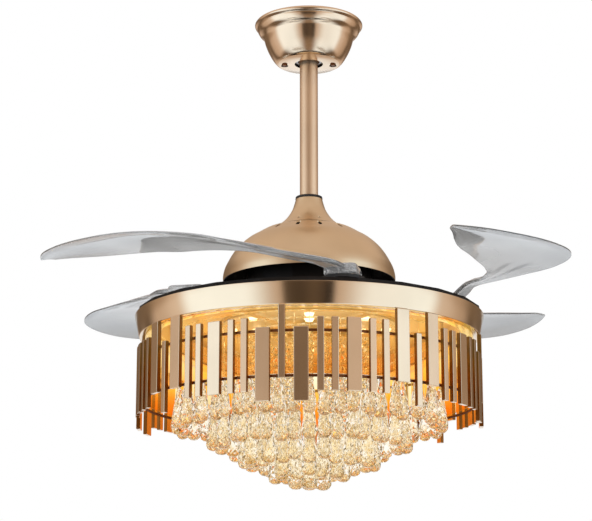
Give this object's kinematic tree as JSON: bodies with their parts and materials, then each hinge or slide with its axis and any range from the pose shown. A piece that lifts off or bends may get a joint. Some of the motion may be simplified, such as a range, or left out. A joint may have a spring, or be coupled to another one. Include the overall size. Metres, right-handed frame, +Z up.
{
  "type": "retractable blade ceiling fan",
  "caption": "Ceiling fan on a downrod with clear blades that fold in above a round light kit of metal bars and crystal drops.",
  "frame": {"origin": "centre of the ceiling bracket's top face", "axes": "+Z up into the ceiling, -Y towards the viewer of the picture, +X to the viewer's right"},
  "size_m": [0.7246, 0.7246, 0.697],
  "materials": {
    "canopy_finish": "brushed champagne gold",
    "housing_finish": "satin champagne gold",
    "rod_finish": "satin champagne gold",
    "ring_finish": "polished champagne gold",
    "bars": "brushed champagne gold",
    "hoops": "dark bronze wire",
    "zinc": "zinc plated steel",
    "black_metal": "satin black",
    "plastic": "moulded black",
    "rubber": "soft black",
    "copper": "lacquered windings",
    "magnet": "ferrite grey",
    "circuit": "white board",
    "blades": "clear acrylic",
    "crystal": "clear cut glass lit warm",
    "lens": "frosted lens"
  },
  "bodies": {
    "ceiling": {"ceiling_bracket": "zinc", "canopy": "canopy_finish", "canopy_screw_1": "zinc", "canopy_screw_2": "zinc", "remote_receiver": "plastic", "terminal_block": "circuit"},
    "hanger": {"hanger_ball": "rod_finish", "ball_pin": "zinc", "downrod": "rod_finish", "motor_yoke": "zinc", "rod_pin": "zinc", "rod_pin_clip": "zinc", "neck_gasket": "rubber", "neck_cover": "housing_finish", "motor_housing": "housing_finish", "motor_shaft": "zinc", "stator": "copper", "tray": "black_metal", "ring_band": "ring_finish", "light_pan": "ring_finish", "led_driver": "plastic", "led_board": "circuit", "led_lenses": "lens", "shaft_nut": "zinc", "bar_cage": "bars", "upper_hoop": "hoops", "crystal_frame": "ring_finish", "crystal_tier_1": "crystal", "crystal_tier_2": "crystal", "crystal_tier_3": "crystal", "crystal_tier_4": "crystal", "crystal_tier_5": "crystal"},
    "rotor": {"rotor_shell": "zinc", "magnet_ring": "magnet", "bearing_upper": "zinc", "bearing_lower": "zinc", "blade_disc": "black_metal", "pivot_pin_1": "zinc", "pivot_pin_2": "zinc", "pivot_pin_3": "zinc", "pivot_pin_4": "zinc", "return_spring_1": "zinc", "return_spring_2": "zinc", "return_spring_3": "zinc", "return_spring_4": "zinc"},
    "sync": {"sync_ring": "zinc"},
    "blade_arm_1": {"blade_1": "blades", "blade_gear_1": "black_metal"},
    "blade_arm_2": {"blade_2": "blades", "blade_gear_2": "black_metal"},
    "blade_arm_3": {"blade_3": "blades", "blade_gear_3": "black_metal"},
    "blade_arm_4": {"blade_4": "blades", "blade_gear_4": "black_metal"}
  },
  "joints": [
    {"name": "hanger_tilt", "type": "hinge", "parent": "ceiling", "child": "hanger", "pos_m": [0, 0, -0.046], "axis": [0, 1, 0], "range_deg": [-8, 8]},
    {"name": "rotor_spin", "type": "hinge", "parent": "hanger", "child": "rotor", "pos_m": [0, 0, -0.36], "axis": [0, 0, 1], "continuous": true},
    {"name": "blade_fold_1", "type": "hinge", "parent": "rotor", "child": "blade_arm_1", "pos_m": [0.04581, -0.17097, -0.425], "axis": [0, 0, 1], "range_deg": [-64, 46]},
    {"name": "blade_fold_2", "type": "hinge", "parent": "rotor", "child": "blade_arm_2", "pos_m": [0.17097, 0.04581, -0.425], "axis": [0, 0, 1], "range_deg": [-64, 46]},
    {"name": "blade_fold_3", "type": "hinge", "parent": "rotor", "child": "blade_arm_3", "pos_m": [-0.04581, 0.17097, -0.425], "axis": [0, 0, 1], "range_deg": [-64, 46]},
    {"name": "blade_fold_4", "type": "hinge", "parent": "rotor", "child": "blade_arm_4", "pos_m": [-0.17097, -0.04581, -0.425], "axis": [0, 0, 1], "range_deg": [-64, 46]},
    {"name": "sync_turn", "type": "hinge", "parent": "rotor", "child": "sync", "pos_m": [0, 0, -0.436], "axis": [0, 0, 1], "range_deg": [-8.4, 11.6]}
  ],
  "couplings": [
    {"joint": "blade_fold_2", "follows": "blade_fold_1", "ratio": 1},
    {"joint": "blade_fold_3", "follows": "blade_fold_1", "ratio": 1},
    {"joint": "blade_fold_4", "follows": "blade_fold_1", "ratio": 1},
    {"joint": "sync_turn", "follows": "blade_fold_1", "ratio": -0.18}
  ]
}
